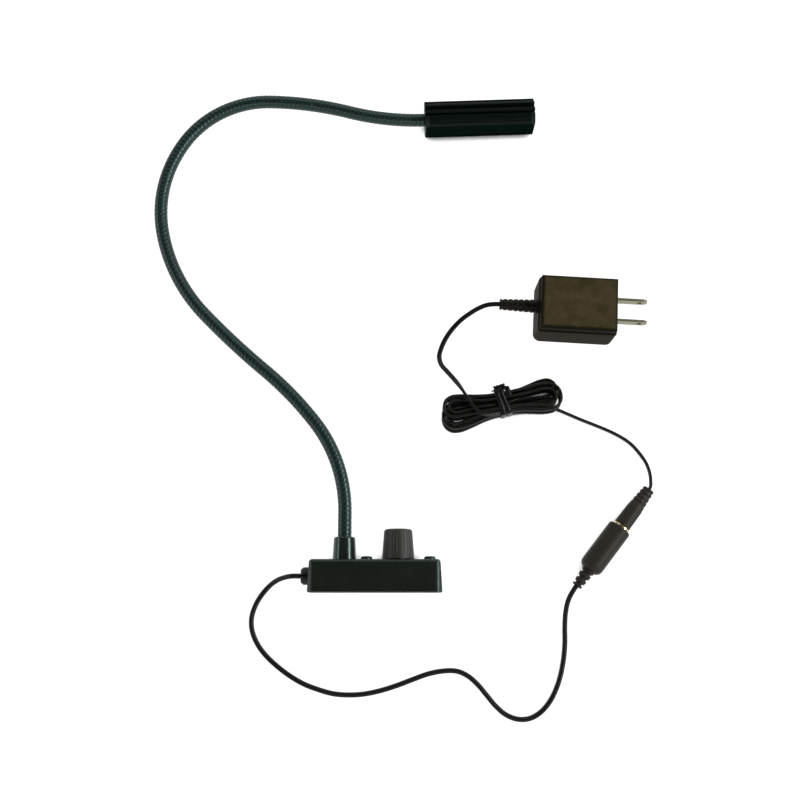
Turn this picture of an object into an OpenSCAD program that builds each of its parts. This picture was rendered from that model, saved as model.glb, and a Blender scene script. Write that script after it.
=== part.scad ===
// Gooseneck lamp with a finned LED head, a dimmer base and a plug-in supply, laid on its side.
// Row frame in mm: +X along the base towards the knob end, +Y up the lamp, +Z up off the table.
// The origin is the centre of the base's side that lies on the table.

/* [Base] */
// length of the base along its foot
base_len = 75; // [60:1:110]
// how far each end leans in over the height
base_draft = 1; // [0:0.25:2]
// height of the base
base_h = 18; // [16:1:30]
// depth of the base, front to back
base_d = 22; // [20:0.5:40]
// wall of the base
base_wall = 2; // [1.2:0.2:3]
// radius of the upright corners
base_corner = 4; // [2:0.5:7]
// radius of the top edges
base_edge = 2; // [0.5:0.1:2.4]
// thickness of the bottom plate
plate_t = 1.6; // [1:0.1:3]
// lip of the housing around the bottom plate
plate_lip = 1; // [0.6:0.1:1.6]
// clearance around pieces that drop in
drop_gap = 0.15; // [0.05:0.05:0.4]
// radius of the screw posts
post_r = 2.6; // [2:0.1:4]
// radius of the bottom plate's screws
plate_screw_r = 1.2; // [0.8:0.1:2]

/* [Dimmer] */
// place of the dimmer from the base's middle, as a share of the base's length
dimmer_share = 0.173; // [0.15:0.001:0.19]
// distance of the outer board screw from the base's end
board_screw_in = 6.7; // [6:0.1:8]
// radius of a board screw
board_screw_r = 1.5; // [1:0.1:2.5]
// radius of a board screw's pan head
board_head_r = 3.3; // [2.5:0.1:3.6]
// height of a board screw's pan head
board_head_h = 2; // [1.4:0.1:3]
// thickness of the circuit board
board_t = 1.6; // [1:0.1:2.4]
// width of the circuit board
board_w = 8; // [6:0.5:8]
// side of the square dimmer body
pot_side = 9.6; // [8:0.2:13]
// height of the dimmer body
pot_h = 5; // [4:0.2:7]
// radius of the dimmer's threaded neck
pot_neck_r = 3.5; // [3:0.1:5]
// height of the dimmer's threaded neck over the base
pot_neck_h = 4; // [3:0.2:6]
// radius of the dimmer shaft
shaft_r = 3; // [2:0.1:3.2]
// radial running clearance of the shaft
shaft_gap = 0.05; // [0.02:0.01:0.1]
// depth of the flat on the shaft
shaft_flat = 0.8; // [0.4:0.1:1.2]
// thickness of the dimmer nut
pot_nut_t = 2; // [1.5:0.1:3]
// width of the dimmer nut across its flats
pot_nut_af = 10; // [9:0.5:12]

/* [Knob] */
// radius of the knob at its foot
knob_foot_r = 9.1; // [8:0.05:12]
// radius of the knob at its top
knob_top_r = 7.9; // [6:0.05:12]
// height of the knob's top over the base
knob_h = 17; // [12:0.5:24]
// gap under the knob
knob_gap = 0.4; // [0.2:0.1:1]
// grip flutes around the knob
knob_flutes = 18; // [10:1:30]
// depth of a grip flute
flute_depth = 0.3; // [0.2:0.05:0.8]
// chamfer around the knob's top
knob_chamfer = 0.8; // [0.3:0.1:1.5]

/* [Gooseneck] */
// place of the neck from the base's middle, as a share of the base's length
neck_share = 0.231; // [0.21:0.001:0.25]
// length of the stretch that bends
neck_len = 427; // [380:1:480]
// outside diameter over the ribs
neck_d = 7.8; // [6.4:0.1:9]
// depth of the ribs
rib_depth = 0.5; // [0.3:0.05:0.7]
// spacing of the ribs
rib_pitch = 3; // [2.6:0.1:5]
// bore of the neck
neck_bore = 3.4; // [3:0.1:4]
// clearance between nested neck links
link_gap = 0.45; // [0.42:0.01:0.6]
// straight stretch above the collar
neck_stub = 14; // [10:1:20]
// depth that the neck is fixed into its sockets
neck_seat = 8; // [6:0.5:9]
// clearance around the neck in its sockets
seat_gap = 0.1; // [0.05:0.05:0.3]
// diameter of the wire in the neck
wire_d = 2.2; // [1.6:0.1:2.4]

/* [Collar] */
// radius of the neck collar at its foot
collar_foot_r = 6.6; // [5.5:0.05:8]
// radius of the neck collar at its top
collar_top_r = 6.05; // [5:0.05:7]
// height of the neck collar
collar_h = 12.8; // [11:0.2:18]
// radius of the collar's rounded lip
collar_lip = 1.1; // [0.4:0.1:1.2]
// radius of the collar's threaded shank
shank_r = 4.2; // [3.6:0.1:5]
// thickness of the collar's nut
collar_nut_t = 3.6; // [2:0.2:4]
// width of the collar's nut across its flats
collar_nut_af = 12; // [11:0.5:14]
// thickness of the washers
washer_t = 0.6; // [0.4:0.1:1.2]

/* [Head] */
// length of the head
head_len = 67; // [55:1:90]
// diameter of the head
head_d = 21.6; // [20:0.2:26]
// radius of the heat sink's core
core_r = 7.6; // [6.5:0.1:8.5]
// thickness of a fin
fin_t = 2.2; // [1.4:0.1:2.6]
// angle between the fins
fin_step = 30; // [26:1:36]
// thickness of the end caps
cap_t = 2.4; // [1.6:0.1:4]
// width of the light channel
channel_w = 9; // [7:0.5:10]
// depth of the channel's roof below the head's axis
channel_roof = 4.6; // [4.2:0.1:5]
// thickness of the light board
led_board_t = 1.2; // [0.8:0.1:1.6]
// light sources in the row
led_count = 6; // [3:1:10]
// side of one light source
led_side = 3; // [2:0.1:4]
// thickness of one light source
led_t = 0.8; // [0.5:0.1:1]
// thickness of the lens
lens_t = 1; // [0.8:0.1:1.4]
// thickness of the lens frame
frame_t = 2.4; // [2:0.1:3]
// rim of the lens frame around its opening
frame_rim = 1.2; // [0.8:0.1:2]
// how far the lens frame stops short of each end
frame_short = 0.8; // [0.4:0.1:2]
// radius of the head's screws
head_screw_r = 1; // [0.7:0.1:1.4]

/* [Lamp lead] */
// diameter of the lamp lead
lead_d = 2.8; // [2:0.1:3.6]
// radius of the bushing's head
bushing_r = 4.9; // [4:0.1:7]
// length of the bushing outside the base
bushing_out = 4; // [2.5:0.1:6]
// radius of the bushing in the wall
bushing_hole_r = 3.2; // [2.6:0.1:4.4]
// length of the bushing inside the base
bushing_in = 2.5; // [1:0.1:3]
// clearance of a cord in its holder
cord_gap = 0.1; // [0.05:0.05:0.3]

/* [Connector] */
// diameter of the in-line jack
jack_d = 13.4; // [12:0.2:16]
// length of the jack's body
jack_len = 30.5; // [24:0.5:36]
// length of the jack's strain relief
jack_relief_len = 11; // [8:0.5:16]
// length of the metal sleeve in the jack
sleeve_len = 11; // [10.5:0.1:14]
// radius of the metal sleeve
sleeve_r = 5.1; // [3.6:0.1:5.4]
// how far the metal sleeve stands out
sleeve_out = 1.4; // [0.8:0.1:2]
// radius of the plug's barrel
barrel_r = 2.75; // [2:0.05:3.2]
// reach of the barrel into the jack
barrel_len = 9.5; // [8:0.1:10.4]
// radius of the jack's centre pin
pin_r = 1; // [0.6:0.05:1.2]
// radial running clearance in the connector
plug_gap = 0.06; // [0.03:0.01:0.1]
// diameter of the plug's body
plug_d = 9.6; // [8:0.1:11]
// length of the plug's body
plug_len = 15; // [11:0.5:20]
// length of the plug's strain relief
plug_relief_len = 11.5; // [8:0.5:14]

/* [Supply lead] */
// width of the flat twin lead
twin_w = 2.8; // [2.4:0.1:2.9]
// thickness of the flat twin lead
twin_t = 1.7; // [1.4:0.1:1.8]
// half length of the hank
hank_half_len = 35.5; // [34:0.5:40]
// half width of the hank at its waist
hank_waist = 6.1; // [6:0.1:7.5]
// how far the hank's lobes swell beyond the waist
hank_swell = 12.5; // [12:0.5:15]
// step between neighbouring turns
hank_step = 2.8; // [2.7:0.1:3.2]
// step between the turns at the waist
hank_waist_step = 2.5; // [2.4:0.1:2.6]
// height between the hank's layers
hank_layer = 3.4; // [3.4:0.1:3.8]
// thickness of the tie
tie_t = 0.8; // [0.5:0.1:1.2]
// width of the tie
tie_w = 4.5; // [3:0.5:7]

/* [Adapter] */
// length of the adapter
adapter_len = 47.5; // [44:0.5:60]
// width of the adapter
adapter_w = 35; // [30:0.5:40]
// height of the adapter
adapter_h = 26; // [24:0.5:34]
// lean of the adapter's sides over the height
adapter_draft = 1; // [0.4:0.1:2]
// radius of the adapter's upright corners
adapter_corner = 4.25; // [2.5:0.25:6]
// radius of the adapter's top edges
adapter_edge = 2.6; // [0.8:0.1:3]
// wall of the adapter
adapter_wall = 2.2; // [1.6:0.1:3]
// height of the seam between the adapter's halves
seam_z = 20; // [18.5:0.5:21]
// width of the shadow groove at the seam
seam_gap = 1.8; // [0.6:0.1:2]
// how far the upper half stands in from the lower one
cover_in = 0.5; // [0:0.1:0.6]
// distance between the blades
blade_pitch = 12.7; // [12:0.1:13.4]
// height of a blade
blade_h = 6.35; // [6:0.05:6.6]
// thickness of a blade
blade_t = 1.5; // [1.4:0.05:1.6]
// length of a blade outside the adapter
blade_len = 17.5; // [15.5:0.1:18.3]
// radius of the hole in a blade
blade_hole_r = 1.6; // [1.4:0.05:1.7]
// length of the adapter's strain relief
relief_len = 22; // [16:0.5:26]
// width of the adapter's strain relief at its root
relief_root = 8; // [7:0.1:10]
// width of the adapter's strain relief at its tip
relief_tip = 6.4; // [5:0.1:6.8]

/* [Hidden] */
$fn = 48;
eps = 0.01;

// heights inside the base, measured up the lamp from its foot
roof_z = base_h - base_wall;
pot_z = roof_z - pot_h;
board_z = pot_z - board_t;
neck_z = base_d / 2;
collar_top = base_h + collar_h;
dimmer_x = dimmer_share * base_len;
board_screw_gap = base_len / 2 - board_screw_in - dimmer_x;
board_end = board_screw_r + 2.5;
board_room = board_screw_gap - board_screw_r - 1 - pot_side / 2;
board_middle = (board_screw_gap - board_screw_r - 1 + pot_side / 2) / 2;
neck_x = -neck_share * base_len;
post_in = base_wall + base_draft + post_r + 2.9;
post_places = [[-base_len / 2 + post_in, -1], [base_len / 2 - board_screw_in - 2.3 * post_r, 1]];
post_y = base_d / 2 - base_wall - post_r + 0.4;
bushing_z = base_h / 2;
bushing_seat = base_draft * (bushing_z + bushing_r) / base_h;

// the neck lies in arcs: share of its length, and turn in degrees, left turns positive
neck_lay = [[56, 38], [43, 12], [50, -6], [61, -33], [60, -45], [60, -57], [50, -14], [47, 17]];
function total(v, i = 0) = i < len(v) ? v[i][0] + total(v, i + 1) : 0;
neck_arcs = [for (a = neck_lay) [a[0] * neck_len / total(neck_lay), a[1]]];
links = len(neck_arcs);
rib_r = neck_d / 2;
root_r = rib_r - rib_depth;
ball_r = root_r;
cup_r = ball_r + link_gap;
bore_r = neck_bore / 2;
rim_r = (rib_r + root_r) / 2;
rim_t = sqrt(cup_r * cup_r - rim_r * rim_r);
neck_foot = [neck_x, collar_top - base_h / 2 + neck_stub, 90];
seat_floor = collar_top - neck_seat;

function rad(a) = a * PI / 180;
function step_on(p, arc, s) =
    let (a = arc[1] * s / arc[0], r = arc[0] / rad(arc[1]))
    [p[0] + r * (sin(p[2] + a) - sin(p[2])), p[1] - r * (cos(p[2] + a) - cos(p[2])), p[2] + a];
function pivot(i) = i == 0 ? neck_foot : step_on(pivot(i - 1), neck_arcs[i - 1], neck_arcs[i - 1][0]);
function ahead(p, s) = [p[0] + s * cos(p[2]), p[1] + s * sin(p[2]), p[2]];
pivots = [for (i = [0:links]) pivot(i)];
function on_link(i, s) =
    s < 0 ? ahead(pivots[i], s)
    : s > neck_arcs[i][0] ? ahead(pivots[i + 1], s - neck_arcs[i][0])
    : step_on(pivots[i], neck_arcs[i], s);
head_at = pivots[links];

// cross-section of the head: angles from the side away from the light
head_r = head_d / 2;
hood_r = head_r - 0.2;
hood_from = 103;
frame_seat = hood_r - frame_t;
frame_half = sqrt(hood_r * hood_r - frame_seat * frame_seat);
lens_w = 2 * frame_half - 4 * frame_rim;
opening_w = lens_w - frame_rim;
frame_len = head_len - 2 * frame_short;
opening_len = frame_len - 10;
led_len = head_len - 2 * cap_t - 8;
screw_side = (channel_w / 2 + sqrt(hood_r * hood_r - 36)) / 2;

// the connector's line: the jack's mouth, its heading, and its height off the table
mouth = [139.6, 27.2];
plug_turn = 51.5;
jack_z = jack_d / 2;

// the adapter's centre and turn on the table
adapter_at = [118.3, 155.8];
adapter_turn = -3.4;
blade_z = adapter_h / 2;
adapter_floor = adapter_wall + board_t;
core_len = 0.46 * adapter_len;
core_w = 0.5 * adapter_w;
core_h = 0.65 * adapter_h;
core_leg = core_len / 7;
coil_h = core_h - 2 * core_leg - 2 * drop_gap;
coil_wrap = 0.09 * adapter_w;

// the hank's centre, turn on the table, start angle, and turns before its first full layer
hank_at = [73, 99.8];
hank_turn = 11;
hank_start = 312;
hank_turns = 8.125;
hank_lead_in = (hank_start - 270) / 360;
hank_layers = 4;
layer_turns = 2;
climb_turns = 0.12;
swell_step = 1.6;
hank_z = tie_t + twin_w / 2;
loop_rings = 24;
// how far the left and the right lobe of each layer lean aside, so that the layers cover each other
hank_lean = [[-3, 2.2], [2, -2.4], [-2.2, 2.4], [2.2, -1.8]];

// routes of the free cords: points chosen by hand along each cord
function along_plug(s) = [mouth[0] + s * cos(plug_turn), mouth[1] + s * sin(plug_turn), jack_z];
function from_adapter(x, y) =
    [adapter_at[0] + x * cos(adapter_turn) - y * sin(adapter_turn),
     adapter_at[1] + x * sin(adapter_turn) + y * cos(adapter_turn), blade_z];
lead_low = lead_d / 2;
twin_low = twin_w / 2;
jack_tail = -jack_len - jack_relief_len;
plug_tail = sleeve_out + 0.2 + plug_len + plug_relief_len;
lamp_route = [
    [-base_len / 2 + 5, 0, neck_z], [-base_len / 2 - bushing_out - 1, 0, neck_z], [-47, 0, 10.4],
    [-51, -0.6, 7.6], [-55.5, -2, 4.4], [-60, -5, 2.2], [-64.5, -10, lead_low], [-68, -16, lead_low],
    [-70, -23, lead_low], [-69.5, -30, lead_low], [-66.5, -37, lead_low], [-62, -43, lead_low],
    [-55.5, -49, lead_low], [-48, -54.5, lead_low], [-40, -59, lead_low], [-32, -62, lead_low],
    [-23.5, -64.3, lead_low], [-15, -65, lead_low], [-6, -64.5, lead_low], [3, -62.7, lead_low],
    [12, -60, lead_low], [21, -56.7, lead_low], [30, -53.6, lead_low], [39, -52, lead_low],
    [46, -52.2, lead_low], [52, -54.8, lead_low], [57.5, -59.5, lead_low], [62.5, -65.4, lead_low],
    [67.3, -71, lead_low], [73, -75.7, lead_low], [79.5, -78, lead_low], [86, -77.6, lead_low],
    [92, -74.4, lead_low], [97.8, -68, lead_low], [102.4, -58.8, lead_low], [105.4, -48, lead_low],
    [106.8, -37.5, 1.6], [106.9, -28.5, 2.6], [107.3, -20.5, 4.2], [108.8, -13.4, 5.8],
    along_plug(jack_tail - 3), along_plug(jack_tail + 8)];
plug_route = [
    along_plug(plug_tail - 8), along_plug(plug_tail + 1.5), [158.8, 55, 5.6], [158.6, 60.4, 4],
    [157, 66, 2.5], [153.6, 71.8, twin_low], [149, 77, twin_low], [143, 81.2, twin_low],
    [136, 84.8, twin_low], [128, 88.2, twin_low], [120, 91.4, 1.6], [112.5, 94.6, 2]];
adapter_route = [
    from_adapter(-adapter_len / 2 - relief_len + 8, 0), from_adapter(-adapter_len / 2 - relief_len - 2, 0),
    [65.4, 158.4, 11.8], [60.4, 157, 9.4], [55.4, 154.6, 6.6], [50.2, 151.2, 4], [45.4, 146.4, 2.4],
    [41.2, 140.4, 1.6], [38.6, 134.6, twin_low], [37.4, 129.6, 1.8], [38.4, 124.4, 3.2]];

// one spot of the hank: angle in degrees, turns in from the outside, and lean of its lobe
function hank_spot(a, inward, lean) =
    let (u = (hank_half_len - hank_step * inward) * cos(a),
         v = sin(a) * (hank_waist - hank_waist_step * inward
             + (hank_swell - swell_step * inward) * pow(abs(cos(a)), 2 + inward)) + lean * (1 - pow(sin(a), 4)))
    [hank_at[0] + u * cos(hank_turn) - v * sin(hank_turn),
     hank_at[1] + u * sin(hank_turn) + v * cos(hank_turn)];
function hank_inward(t) =
    let (s = t - hank_lead_in, k = max(0, min(hank_layers - 1, floor(s / layer_turns))),
         f = s - k * layer_turns)
    k % 2 == 0 ? f : layer_turns - f;
function ease(x) = let (c = max(0, min(1, x))) c * c * (3 - 2 * c);
function climbed(t, k) = ease((t - hank_lead_in - k * layer_turns) / climb_turns + 0.5);
function hank_height(t) = hank_z + hank_layer * (climbed(t, 1) + climbed(t, 2) + climbed(t, 3));
function lean_step(t, side, k) = (hank_lean[k][side] - hank_lean[k - 1][side]) * climbed(t, k);
function lean_at(t, side) =
    hank_lean[0][side] + lean_step(t, side, 1) + lean_step(t, side, 2) + lean_step(t, side, 3);
function hank_point(t) =
    let (a = hank_start - 360 * t, p = hank_spot(a, hank_inward(t), lean_at(t, cos(a) < 0 ? 0 : 1)))
    [p[0], p[1], hank_height(t)];
hank_count = round(hank_turns * loop_rings);
hank_path = [for (i = [0:hank_count]) hank_point(i / loop_rings)];

// the least gap of the hank to itself, between spots at least a third of a turn apart
function edge_gap(p, q) =
    norm([max(0, norm([p[0] - q[0], p[1] - q[1]]) - twin_t), max(0, abs(p[2] - q[2]) - twin_w)]);
hank_gap = min([for (i = [0:hank_count - 8], j = [i + 8:hank_count])
    edge_gap(hank_path[i], hank_path[j])]);
echo(hank_least_gap = hank_gap);

// unit vectors along a path and across it
function unit(v) = v / norm(v);
function heading(path, i) =
    unit(path[min(i + 1, len(path) - 1)] - path[max(i - 1, 0)]);
function across(t) = unit(cross([0, 0, 1], t));

// how the free stretches run into the hank's first turn and out of its last one
hank_way_in = [hank_path[0] - 6 * heading(hank_path, 0), hank_path[0]];
function on_hank(u, v, z) =
    [hank_at[0] + u * cos(hank_turn) - v * sin(hank_turn),
     hank_at[1] + u * sin(hank_turn) + v * cos(hank_turn), z];
hank_over = hank_z + hank_layers * hank_layer + 0.4;
hank_way_out = [
    on_hank(-26.9, 25, 6.4), on_hank(-24.2, 18.4, 11.2), on_hank(-21.8, 11.8, hank_over - 0.6),
    on_hank(-19.2, 5, hank_over), on_hank(-16.4, -1.2, hank_over), on_hank(-12.4, -5.8, hank_over - 0.2),
    on_hank(-7.5, -6.6, hank_over - 2), hank_path[hank_count]];

// a cord: one closed tube along a path, half_w wide and half_t thick
module cord(path, half_w, half_t, sides) {
    n = len(path);
    rings = [for (i = [0:n - 1])
        let (t = heading(path, i), a = across(t), b = cross(t, a))
        for (k = [0:sides - 1])
            let (w = 360 * (k + 0.5) / sides) path[i] + half_w * cos(w) * a + half_t * sin(w) * b];
    walls = [for (i = [0:n - 2], k = [0:sides - 1])
        let (m = (k + 1) % sides, p = i * sides, q = p + sides)
        each [[p + k, q + k, p + m], [p + m, q + k, q + m]]];
    near = [for (k = [1:sides - 2]) [0, k, k + 1]];
    far = [for (k = [1:sides - 2]) [(n - 1) * sides, (n - 1) * sides + k + 1, (n - 1) * sides + k]];
    polyhedron(points = rings, faces = concat(walls, near, far));
}

// one neck link: a closed skin through stations [place, heading, radius], out along the ribs
// and back along the bore
module ribbed_tube(stations) {
    sides = 8;
    n = len(stations);
    rings = [for (s = stations, k = [0:sides - 1])
        let (a = 360 * (k + 0.5) / sides)
        [s[0][0] - s[1] * cos(a) * sin(s[0][2]), s[0][1] + s[1] * cos(a) * cos(s[0][2]),
         neck_z + s[1] * sin(a)]];
    walls = [for (i = [0:n - 1], k = [0:sides - 1])
        let (m = (k + 1) % sides, p = i * sides, q = ((i + 1) % n) * sides)
        each [[p + k, q + k, p + m], [p + m, q + k, q + m]]];
    polyhedron(points = rings, faces = walls);
}

// zigzag of ribs between two places along a link
function ribs(from, to) =
    let (count = max(1, round((to - from) / rib_pitch)), p = (to - from) / count)
    [for (k = [0:count - 1]) each [[from + (k + 0.5) * p, rib_r], [from + (k + 1) * p, root_r]]];
function ball_end(at) = [for (a = [62, 40]) [at + ball_r * cos(a), ball_r * sin(a)]];
function ball_tip(at) = [[at + sqrt(ball_r * ball_r - bore_r * bore_r), bore_r]];
function cup(at) =
    let (open = acos(rim_t / cup_r), shut = asin(bore_r / cup_r))
    [for (k = [0:3]) let (a = shut + (open - shut) * k / 3) [at + cup_r * cos(a), cup_r * sin(a)]];
function bore(from, to) =
    let (count = ceil((to - from) / 13)) [for (k = [1:count - 1]) [to + (from - to) * k / count, bore_r]];

// the upright base frame: x along the base, z up the lamp, y towards the table
module lay() translate([0, -base_h / 2, base_d / 2]) rotate([-90, 0, 0]) children();
// the head's frame: x along the head, y away from the light, z off the table
module at_head() translate([head_at[0], head_at[1], neck_z]) rotate([0, 0, head_at[2]]) children();
// a shape drawn as [y, z] and drawn out along x
module along_x(from, to) translate([from, 0, 0]) rotate([90, 0, 90]) linear_extrude(to - from) children();
// the connector's frame: x out of the jack's mouth along its axis
module at_plug() translate([mouth[0], mouth[1], jack_z]) rotate([0, 0, plug_turn]) children();
// an outline [x, radius] turned around the x axis
module turned(outline) rotate([0, 90, 0]) rotate_extrude() polygon([for (p = outline) [p[1], p[0]]]);
// the adapter's frame on the table
module at_adapter() translate([adapter_at[0], adapter_at[1], 0]) rotate([0, 0, adapter_turn]) children();

// a rectangle with round corners
module plan(l, w, r) {
    square([l - 2 * r, w], center = true);
    square([l, w - 2 * r], center = true);
    for (x = [-1, 1], y = [-1, 1]) translate([x * (l / 2 - r), y * (w / 2 - r)]) circle(r);
}
// a side view that leans in by draft and has round top corners
module leaning(l, h, draft, r) {
    polygon(concat(
        [[-l / 2, 0], [l / 2, 0]],
        [for (a = [0:15:90]) [l / 2 - draft - r + r * cos(a), h - r + r * sin(a)]],
        [for (a = [90:15:180]) [-l / 2 + draft + r + r * cos(a), h - r + r * sin(a)]]));
}
// a moulded box with leaning sides, round corners and round top edges
module moulded(l, w, h, draft_l, draft_w, corner, edge) {
    intersection() {
        linear_extrude(h) plan(l, w, corner);
        translate([0, w, 0]) rotate([90, 0, 0]) linear_extrude(2 * w) leaning(l, h, draft_l, edge);
        translate([-l, 0, 0]) rotate([90, 0, 90]) linear_extrude(2 * l) leaning(w, h, draft_w, edge);
    }
}
// an outline [radius, z] turned around the upright axis
module turned_up(outline) rotate_extrude() polygon(outline);
// the cross in a screw's head
module cross_slot(r) for (a = [0, 90]) rotate(a)
    translate([-1.1 * r, -0.22 * r, 0]) cube([2.2 * r, 0.44 * r, 0.7]);
module hexagon(af, t) cylinder(r = af / 2 / cos(30), h = t, $fn = 6);
module tube(r, bore, h) difference() {
    cylinder(r = r, h = h);
    translate([0, 0, -1]) cylinder(r = bore, h = h + 2);
}
// a pan screw head, flat side down
module pan_head(r, h) turned_up(concat([[0, 0], [r, 0]], [for (a = [0:15:90])
    [0.6 * r + 0.4 * r * cos(a), 0.4 * h + 0.6 * h * sin(a)]], [[0, h]]));

// moulded base housing, open below
module base_housing() color("#17181a") lay() difference() {
    union() {
        difference() {
            moulded(base_len, base_d, base_h, base_draft, 0, base_corner, base_edge);
            translate([0, 0, -eps]) moulded(base_len - 2 * base_wall, base_d - 2 * base_wall,
                roof_z + eps, base_draft, 0, base_corner - base_wall + 0.6, 0.6);
        }
        for (p = post_places) intersection() {
            translate([p[0], p[1] * post_y, plate_t]) cylinder(r = post_r, h = roof_z - plate_t + 0.5);
            linear_extrude(base_h) plan(base_len - base_wall, base_d - base_wall, base_corner);
        }
    }
    translate([0, 0, -1]) linear_extrude(plate_t + 1)
        plan(base_len - 2 * plate_lip, base_d - 2 * plate_lip, base_corner - plate_lip);
    for (p = post_places) translate([p[0], p[1] * post_y, 0]) cylinder(r = plate_screw_r, h = 10);
    translate([neck_x, 0, 0]) cylinder(r = shank_r + drop_gap, h = base_h + 1);
    translate([dimmer_x, 0, 0]) cylinder(r = pot_neck_r + drop_gap, h = base_h + 1);
    for (x = [-1, 1]) translate([dimmer_x + x * board_screw_gap, 0, 0])
        cylinder(r = board_screw_r + drop_gap, h = base_h + 1);
    translate([-base_len / 2 - 1, 0, bushing_z]) rotate([0, 90, 0]) {
        cylinder(r = bushing_hole_r + drop_gap, h = base_wall + base_draft + 3);
        cylinder(r = bushing_r + drop_gap, h = 1 + bushing_seat);
    }
}

// flat plate that closes the base below
module base_plate() color("#1b1c1e") lay() difference() {
    linear_extrude(plate_t) plan(base_len - 2 * plate_lip - 2 * drop_gap,
        base_d - 2 * plate_lip - 2 * drop_gap, base_corner - plate_lip - drop_gap);
    for (p = post_places) translate([p[0], p[1] * post_y, -eps]) {
        cylinder(r = plate_screw_r + drop_gap, h = plate_t + 1);
        cylinder(r1 = 2 * plate_screw_r + drop_gap, r2 = plate_screw_r, h = plate_screw_r + drop_gap);
    }
}

// countersunk screws of the bottom plate
module plate_screws() color("#4a4b4d") lay()
    for (p = post_places) translate([p[0], p[1] * post_y, 0]) difference() {
        union() {
            cylinder(r1 = 2 * plate_screw_r, r2 = plate_screw_r, h = plate_screw_r);
            cylinder(r = plate_screw_r, h = 9);
        }
        translate([0, 0, -eps]) cross_slot(plate_screw_r);
    }

// pan-head screws on top of the base, through to the board
module board_screws() color("#222325") lay()
    for (x = [-1, 1]) translate([dimmer_x + x * board_screw_gap, 0, 0]) difference() {
        union() {
            translate([0, 0, base_h]) pan_head(board_head_r, board_head_h);
            translate([0, 0, board_z - 3.2]) cylinder(r = board_screw_r, h = base_h - board_z + 3.2 + eps);
        }
        translate([0, 0, base_h + board_head_h - 0.7]) cross_slot(board_screw_r);
    }
// sleeves that hold the board off the roof
module board_spacers() color("#9a9a96") lay() for (x = [-1, 1])
    translate([dimmer_x + x * board_screw_gap, 0, pot_z])
        tube(board_screw_r + 1, board_screw_r + drop_gap, pot_h);
// nuts under the board
module board_nuts() color("#9a9a96") lay() for (x = [-1, 1])
    translate([dimmer_x + x * board_screw_gap, 0, board_z - 2.4]) difference() {
        hexagon(3.7 * board_screw_r, 2.4);
        translate([0, 0, -1]) cylinder(r = board_screw_r, h = 5);
    }
// circuit board of the dimmer
module dimmer_board() color("#2f5a3a") lay() difference() {
    translate([dimmer_x - board_screw_gap - board_end, -board_w / 2, board_z])
        cube([2 * (board_screw_gap + board_end), board_w, board_t]);
    for (x = [-1, 1]) translate([dimmer_x + x * board_screw_gap, 0, 0])
        cylinder(r = board_screw_r + drop_gap, h = base_h);
}
// coil and chip on the board
module board_parts() color("#303234") lay() {
    translate([dimmer_x + board_middle - board_room / 4, -0.375 * board_w, board_z + board_t])
        cube([board_room / 2, 0.75 * board_w, 0.48 * pot_h]);
    translate([dimmer_x - board_middle, 0, board_z + board_t]) cylinder(r = board_room / 4, h = 0.68 * pot_h);
}
// body of the dimmer with its threaded neck
module dimmer_pot() color("#6c6f72") lay() translate([dimmer_x, 0, 0]) difference() {
    union() {
        translate([-pot_side / 2, -pot_side / 2, pot_z]) cube([pot_side, pot_side, pot_h]);
        translate([0, 0, roof_z - eps]) cylinder(r = pot_neck_r, h = base_wall + pot_neck_h + eps);
    }
    translate([0, 0, pot_z + 1]) cylinder(r = shaft_r + shaft_gap, h = 30);
}
// washer and nut of the dimmer, inside the knob's skirt
module pot_nut() color("#8d8d88") lay() translate([dimmer_x, 0, base_h]) difference() {
    union() {
        cylinder(r = pot_nut_af / 2, h = washer_t);
        translate([0, 0, washer_t]) hexagon(pot_nut_af, pot_nut_t);
    }
    translate([0, 0, -1]) cylinder(r = pot_neck_r, h = washer_t + pot_nut_t + 2);
}
// shaft of the dimmer, with its flat
module pot_shaft() color("#b9b9b4") lay() translate([dimmer_x, 0, 0]) difference() {
    translate([0, 0, pot_z + 1.2]) cylinder(r = shaft_r, h = base_h + knob_h - 3 - pot_z - 1.2);
    translate([shaft_r - shaft_flat, -shaft_r, base_h + pot_neck_h + 0.5])
        cube([shaft_r, 2 * shaft_r, knob_h]);
}
// tapered knob with grip flutes, pushed onto the shaft
module knob() color("#141516") lay() translate([dimmer_x, 0, base_h]) difference() {
    foot = knob_gap;
    lean = atan((knob_foot_r - knob_top_r) / (knob_h - foot));
    turned_up([[0, foot], [knob_foot_r, foot], [knob_top_r + 0.05, knob_h - knob_chamfer],
        [knob_top_r - knob_chamfer, knob_h], [knob_top_r - knob_chamfer - 0.6, knob_h],
        [knob_top_r - knob_chamfer - 1.2, knob_h - 0.4], [0, knob_h - 0.4]]);
    for (i = [0:knob_flutes - 1]) rotate(360 * (i + 0.5) / knob_flutes)
        translate([knob_foot_r + 1.5 - flute_depth, 0, foot + 2]) rotate([0, -lean, 0])
            cylinder(r = 1.5, h = knob_h, $fn = 24);
    translate([0, 0, -1]) cylinder(r = pot_nut_af / 2 / cos(30) + 0.5, h = pot_neck_h + 1.3);
    difference() {
        cylinder(r = shaft_r, h = knob_h - 3);
        translate([shaft_r - shaft_flat, -shaft_r, pot_neck_h + 0.5]) cube([shaft_r, 2 * shaft_r, knob_h]);
    }
}

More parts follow.
